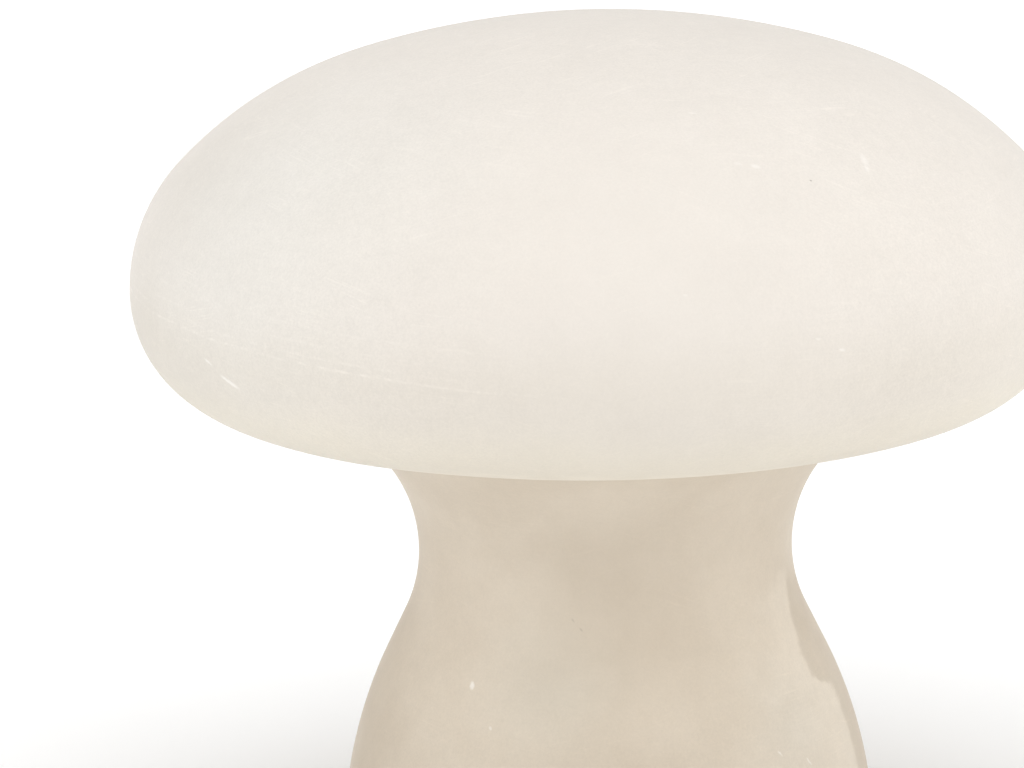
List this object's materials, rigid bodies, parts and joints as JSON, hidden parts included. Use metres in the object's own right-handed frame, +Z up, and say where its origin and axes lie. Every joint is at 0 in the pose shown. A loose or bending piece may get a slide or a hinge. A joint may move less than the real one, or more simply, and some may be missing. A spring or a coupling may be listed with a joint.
{
  "type": "mushroom table lamp",
  "caption": "Turned stone table lamp with a hollow mushroom-cap shade that lifts off a trumpet-topped stem, and a screw-in bulb inside.",
  "frame": {"origin": "on the table at the centre of the foot, on the lamp's turning axis", "axes": "+Z up along the turning axis, -Y towards the viewer of the picture, +Y to the rear where the cord inlet is"},
  "size_m": [0.3048, 0.3048, 0.2821],
  "materials": {
    "stone": "satin",
    "felt": "matte",
    "silicone": "matte",
    "nylon": "matte",
    "steel": "satin",
    "zinc": "satin",
    "brass": "satin",
    "porcelain": "gloss",
    "block_plastic": "satin",
    "line_insulation": "satin",
    "neutral_insulation": "satin",
    "opal_glass": "gloss",
    "mount_glass": "gloss",
    "black_glass": "gloss",
    "cap_metal": "satin",
    "solder": "satin",
    "phosphor": "matte"
  },
  "bodies": {
    "base": {"seat_ring": "silicone", "stem": "stone", "felt_pad": "felt", "cord_bush": "nylon", "lamp_pipe": "zinc", "pipe_end_bush": "nylon", "base_washer": "steel", "base_lock_washer": "zinc", "base_nut": "zinc", "top_washer": "steel", "top_lock_washer": "zinc", "top_nut": "zinc", "terminal_block": "block_plastic", "terminal_inserts": "brass", "block_screws": "zinc", "line_lead": "line_insulation", "neutral_lead": "neutral_insulation", "holder_hub": "brass", "holder_cap": "porcelain", "holder_screws": "zinc", "holder_body": "porcelain", "holder_terminals": "brass", "terminal_screws": "zinc", "contact_spring": "brass", "screw_shell": "brass"},
    "bulb_tip": {"bulb_contact": "solder"},
    "bulb": {"bulb_insulator": "black_glass", "bulb_cap": "cap_metal", "bulb_mount": "mount_glass", "filament_wires": "zinc", "bulb_filaments": "phosphor", "bulb_glass": "opal_glass"},
    "shade_cap": {"shade": "stone"}
  },
  "joints": [
    {"name": "shade_lift", "type": "slide", "parent": "base", "child": "shade_cap", "axis": [0, 0, 1], "range_m": [0, 0.12]},
    {"name": "bulb_rise", "type": "slide", "parent": "base", "child": "bulb_tip", "axis": [0, 0, 1], "range_m": [0, 0.013]},
    {"name": "bulb_turn", "type": "hinge", "parent": "bulb_tip", "child": "bulb", "pos_m": [0, 0, 0.2], "axis": [0, 0, 1], "range_deg": [0, 1260]}
  ],
  "couplings": [
    {"joint": "bulb_rise", "follows": "bulb_turn", "m_per_rad": 0.0005775}
  ]
}
